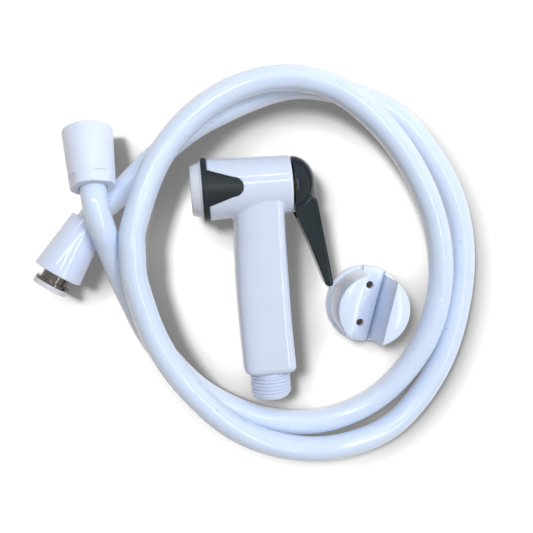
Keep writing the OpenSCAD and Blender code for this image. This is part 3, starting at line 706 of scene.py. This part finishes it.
def section(d, count):
    """One closed ring of the handle at a distance d below the head's axis."""
    e = max(0.0, d - (handle_drop - handle_edge))
    inset = handle_edge - math.sqrt(max(0.0, handle_edge ** 2 - e ** 2)) if e else 0.0
    t = d / handle_drop
    half = 13.5 - 1.0 * t - inset
    full = 27.1 - 1.8 * max(0.0, 1.0 - 2.0 * t)
    width = full - 2.0 * inset
    mid = 23.8 + 1.25 * ((d - 48.0) / 48.0) ** 2
    back = width * (0.28 + 0.14 * t)
    nose = width - back
    split = mid + width / 2.0 - back
    points = []
    for i in range(count):
        a = 2.0 * math.pi * i / count
        rear = math.cos(a) >= 0.0
        power = 2.0 / (5.0 + 1.0 * t) if rear else 2.0 / (2.3 + 2.4 * t)
        c = math.copysign(abs(math.cos(a)) ** power, math.cos(a))
        s = math.copysign(abs(math.sin(a)) ** power, math.sin(a))
        points.append(Vector((split + (back if rear else nose) * c, -d, half * s)))
    return points


def grown(name, rings):
    """A solid grown ring by ring: each new ring is extruded, then eased to its place."""
    deselect()
    bpy.ops.mesh.primitive_circle_add(vertices=len(rings[0]), radius=1.0, fill_type="NGON")
    obj = bpy.context.object
    obj.name = name
    for vert, p in zip(obj.data.vertices, rings[0]):
        vert.co = p
    for ring in rings[1:]:
        last = len(obj.data.vertices) - len(ring)
        bpy.ops.object.mode_set(mode="EDIT")
        bpy.ops.mesh.extrude_region_move(TRANSFORM_OT_translate={"value": (0.0, 0.0, 0.0)})
        bpy.ops.object.mode_set(mode="OBJECT")
        new = [v for v in obj.data.vertices if v.select]
        old = obj.data.vertices[last:last + len(ring)]
        for vert in new:
            twin = min(range(len(ring)), key=lambda k: (old[k].co - vert.co).length_squared)
            vert.co = ring[twin]
    return tidy_mesh(obj)


depths = [3.0 + (handle_drop - handle_edge - 3.0) * k / 24.0 for k in range(25)]
depths += [handle_drop - handle_edge + handle_edge * math.sin(math.radians(a))
           for a in (20, 40, 60, 75, 89)]
body = grown("handset_moulding", [section(d, 96) for d in depths])
print("handle:", len(depths), "rings")

# %% [markdown]
# ## Handset body
# One white moulding: a turned casing, the handle, the lug for the lever's pin
# and a threaded inlet. The casing, the lug and the handle are joined, and one
# voxel remesh with a little smoothing gives the soft fillets that a mould
# leaves. The inlet is joined after that, so that its thread stays crisp. Last
# come the valve's chamber, the waterway and the pockets of the tongues.

# %% Handset body
inlet_x, crest_r = 25.1, 10.4775
root_r, first_crest = crest_r - 1.16, 1.4
pin_x, pin_drop = 45.6, 11.0

casing = along_x(spun("casing", [
    (0.0, -5.2), (11.2, -5.2), (11.2, 0.0), (head_front_r - 0.3, 0.0), (head_front_r, 0.3),
    (head_rear_r, head_len - 0.5), (head_rear_r - 0.5, head_len), (0.0, head_len)]))
lug_eye = rod((pin_x, -pin_drop, 0.0), 2.9, 10.0)
lug_web = box((43.2, -11.9, 0.0), (4.8, 4.0, 10.0))
for solid in (casing, lug_eye, lug_web):
    drilled(body, solid, "UNION")
applied(body, "REMESH", mode="VOXEL", voxel_size=0.5)
applied(body, "SMOOTH", factor=0.5, iterations=2)

inlet = [(0.0, -4.0), (root_r, -4.0), (root_r, first_crest)]
for k in range(6):
    y = first_crest + k * thread_pitch
    inlet += [(crest_r, y + 0.45), (crest_r, y + 1.05), (root_r, y + 1.55)]
inlet += [(root_r, 13.1), (root_r - 0.9, 14.0), (0.0, 14.0)]
spigot = turn(spun("spigot", inlet), 90.0, "X")
spigot.data.transform(Matrix.Translation((inlet_x, -handle_drop, 0.0)))
drilled(body, spigot, "UNION")

chamber = along_x(spun("chamber", [
    (0.0, -7.0), (8.5, -7.0), (8.5, 7.0), (5.0, 7.0), (5.0, 9.0), (8.5, 9.0),
    (8.5, 40.3), (10.2, 40.3), (10.2, 43.0), (0.0, 43.0)], 64))
drilled(body, chamber)
drilled(body, rod((inlet_x, -56.5, 0.0), 5.0, 111.0, 64, 90.0))
for side in (1.0, -1.0):
    drilled(body, tongue_block("pocket", 0.25, -1.25, 3.0, side))
settle(body, handset_place, "kit", "handset_body", handset_white, 35.0)

# %% [markdown]
# ## Lever: the outer form
# The dome is a turned solid with two smaller lobes below it, and a convex hull
# draws one skin over the three, so its back runs straight down into the arm.
# The arm is a flat-sided wedge that narrows to the tip. Both are joined,
# remeshed and smoothed, so that one soft form results, as on the real
# moulding.

# %% Lever's outer form
dome_x, dome_len, dome_r = 42.5, 12.0, 14.3
lever_half, wall = 9.0, 1.9
arm_outline = [
    (43.0, -7.0), (43.1, -14.7), (49.0, -29.85), (56.4, -52.4), (57.4, -53.3), (59.6, -53.2),
    (60.4, -52.1), (59.3, -42.64), (57.86, -33.58), (56.23, -23.45), (55.1, -16.0),
    (54.5, -11.0), (53.6, -7.4), (51.0, -6.2)]


def dome_shape(name, r, depth, start):
    """A turned quarter ellipse, closed to its axis."""
    return along_x(spun(name, [(0.0, start)] + [
        (r * math.cos(math.radians(a)), dome_x + depth * math.sin(math.radians(a)))
        for a in range(0, 91, 5)]))


def side_block(name, outline, half):
    """A block given by its outline seen from the side, and its half width."""
    return extruded(name, outline, -half, 2.0 * half)


lever = dome_shape("lever_moulding", dome_r, dome_len, dome_x)
for drop, r, depth in ((5.0, 9.3, 12.3), (9.0, 5.3, 12.4)):
    lobe = dome_shape("lobe", r, depth, dome_x)
    lobe.data.transform(Matrix.Translation((0.0, -drop, 0.0)))
    drilled(lever, lobe, "UNION")
active(lever)
bpy.ops.object.mode_set(mode="EDIT")
bpy.ops.mesh.select_all(action="SELECT")
bpy.ops.mesh.convex_hull()
bpy.ops.object.mode_set(mode="OBJECT")
tidy_mesh(lever)
arm = side_block("arm", arm_outline, lever_half)
for vert in arm.data.vertices:
    down = max(0.0, min(1.0, (-vert.co.y - 16.0) / 31.3))
    vert.co.z *= 1.0 - down / 3.0
rounded(arm, 0.9, 4)
drilled(lever, arm, "UNION")
applied(lever, "REMESH", mode="VOXEL", voxel_size=0.4)
applied(lever, "SMOOTH", factor=0.5, iterations=7)
print("lever's outer form:", len(lever.data.polygons), "faces")

# %% [markdown]
# ## Lever: the inside
# The dome is hollow: the cavity is a smaller dome, kept only where the real
# one is open. Two more cuts leave room for the casing's rim and for the lug
# with its fillet. A notch lets the lug in, the pin goes across, and two pegs
# reach inwards to pull the nut on the valve's stem.

# %% Lever's inside
cavity = dome_shape("cavity", dome_r - wall, dome_len - wall, dome_x - 1.0)
open_part = side_block("open_part", [(40.0, -13.5), (43.1, -13.5), (43.1, -7.1), (50.7, -5.9),
                                     (54.0, -5.5), (54.0, 19.5), (40.0, 19.5)], 15.0)
drilled(lever, drilled(cavity, open_part, "INTERSECT"))
drilled(lever, side_block("rim_gap", [(40.0, -17.0), (42.9, -17.0), (42.7, -8.0),
                                      (40.0, -8.0)], 17.0))
drilled(lever, side_block("lug_room", [(40.0, -17.0), (43.8, -17.0), (43.8, -8.2),
                                       (40.0, -8.2)], 6.3))
drilled(lever, box((45.2, -12.3, 0.0), (7.4, 10.0, 10.3)))
drilled(lever, rod((pin_x, -pin_drop, -1.3), 1.52, 17.4))
for side in (1.0, -1.0):
    drilled(lever, rod((46.9, 0.0, side * 7.55), 1.7, 10.5, 32), "UNION")
settle(lever, handset_place, "lever_body", "lever", slate_lever, 35.0)

# %% [markdown]
# ## Wall holder
# A round flange with two tall shells either side of a slot that widens
# towards its lower end. The body is spun and the slot is a tapered block. A
# groove runs along each side of the slot's floor, and two screw holes go
# through the floor. The edges are rounded as on the moulding.

# %% Wall holder
flange_r, holder_h = 20.8, 27.0
slot_floor_half, slot_end_halves = 6.8, (8.0, 8.65)
slot_middle, slot_long = 16.0, 46.0

holder = spun("holder_moulding", [
    (0.0, 0.0), (flange_r, 0.0), (flange_r, 2.4), (flange_r - 0.6, 3.0), (19.0, 3.0),
    (18.6, 26.0), (18.3, 26.7), (17.6, holder_h), (0.0, holder_h)])
slot = box((0.0, 0.0, slot_middle), (1.0, slot_long, 24.0))
for vert in slot.data.vertices:
    top = slot_end_halves[0] if vert.co.y > 0.0 else slot_end_halves[1]
    vert.co.x = math.copysign(top if vert.co.z > slot_middle else slot_floor_half, vert.co.x)
drilled(holder, slot)
for side in (1.0, -1.0):
    drilled(holder, box((side * 6.15, 0.0, 2.4), (1.3, slot_long, 3.6)))
    drilled(holder, rod((0.0, side * 10.5, 2.0), 2.05, 8.0))
rounded(tidy_mesh(holder), 0.45, 3, 25.0)
settle(holder, holder_place, "kit", "wall_holder", holder_white, 35.0)

# %% [markdown]
# ## Last step

# %% The end
print("end of the script")
